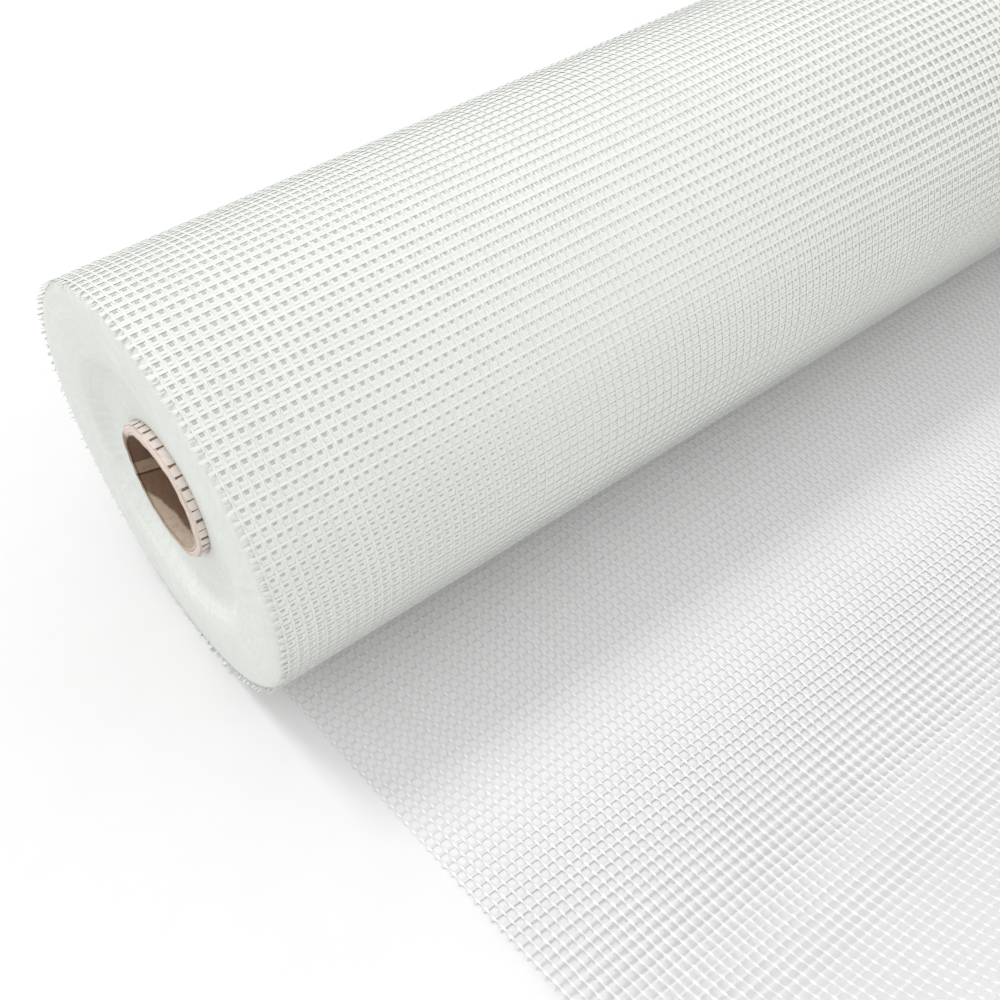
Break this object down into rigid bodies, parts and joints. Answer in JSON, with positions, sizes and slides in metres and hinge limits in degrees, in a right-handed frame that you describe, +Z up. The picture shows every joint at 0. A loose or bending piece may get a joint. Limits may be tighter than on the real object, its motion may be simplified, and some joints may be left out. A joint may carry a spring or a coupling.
{
  "type": "roll of fiberglass mesh",
  "caption": "Roll of woven fiberglass mesh on a cardboard core, lying on its side with its loose end drawn out on the floor, where it curls up towards its edge.",
  "frame": {"origin": "centre of the bounding box, at floor level", "axes": "+X along the roll from the end whose inner turns lie back to the other end, -Y towards the loose end's front edge, +Z up"},
  "size_m": [1.0328, 0.4552, 0.1901],
  "materials": {
    "glass_yarn": "white coated glass yarn in an open leno weave, satin",
    "cardboard": "spirally wound paper tube, matt"
  },
  "bodies": {
    "root": {"glass_mesh": "glass_yarn", "cardboard_core": "cardboard"}
  },
  "joints": []
}
